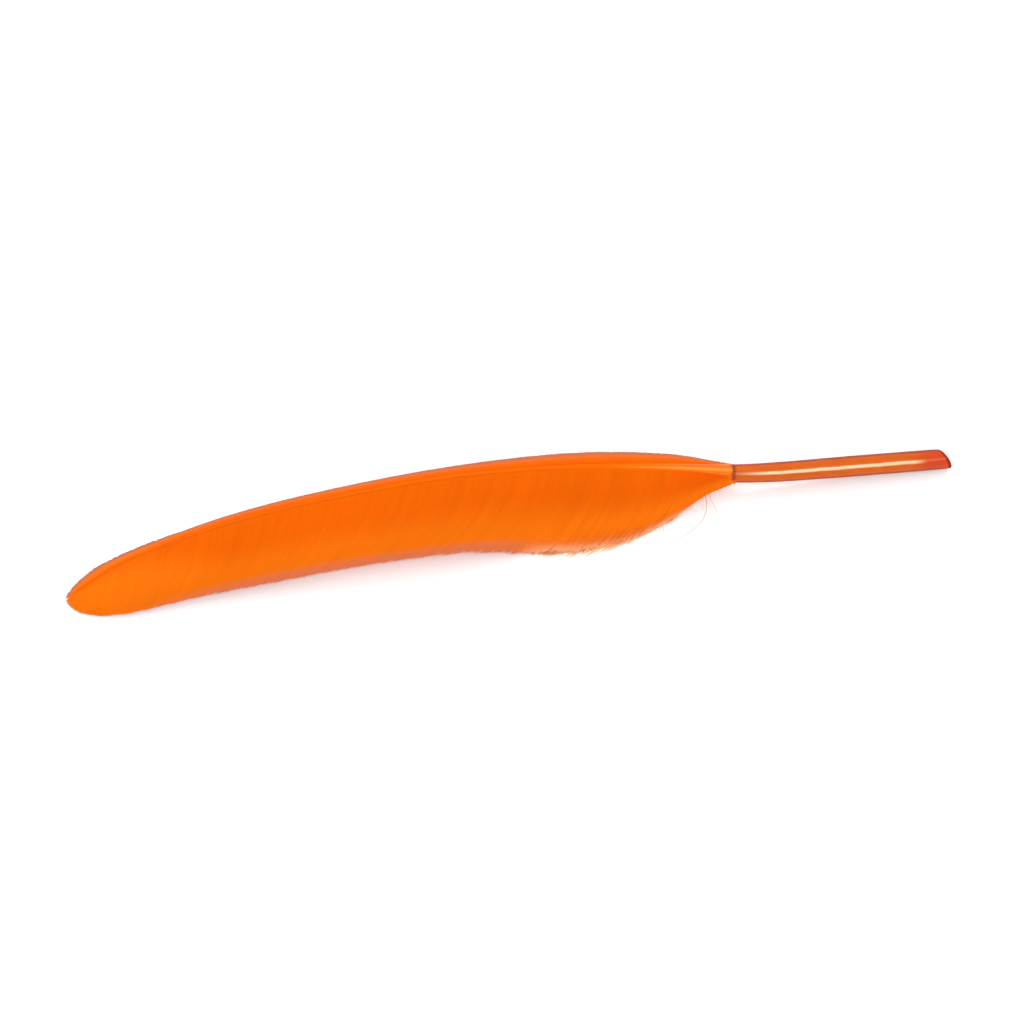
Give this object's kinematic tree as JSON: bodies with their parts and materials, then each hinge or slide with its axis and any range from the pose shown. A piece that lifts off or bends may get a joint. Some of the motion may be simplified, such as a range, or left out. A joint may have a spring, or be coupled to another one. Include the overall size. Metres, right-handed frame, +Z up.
{
  "type": "goose quill feather",
  "caption": "Dyed orange goose quill feather lying flat: bare translucent quill, arched shaft, narrow leading vane, broad curled trailing vane and a downy foot.",
  "frame": {"origin": "centre of the bounding box on the surface that the feather lies on", "axes": "+X along the feather towards the quill end, +Y across it towards the narrow leading vane, +Z up through the convex upper side"},
  "size_m": [0.1534, 0.0184, 0.0086],
  "materials": {
    "vane": "soft matt barbs lying side by side, dyed bright orange, paler towards both margins",
    "quill": "smooth glossy translucent horn, amber orange, darkening to red brown at the cut end",
    "down": "loose fluffy down, paler orange and partly see-through"
  },
  "bodies": {
    "root": {"feather": "vane"}
  },
  "joints": []
}
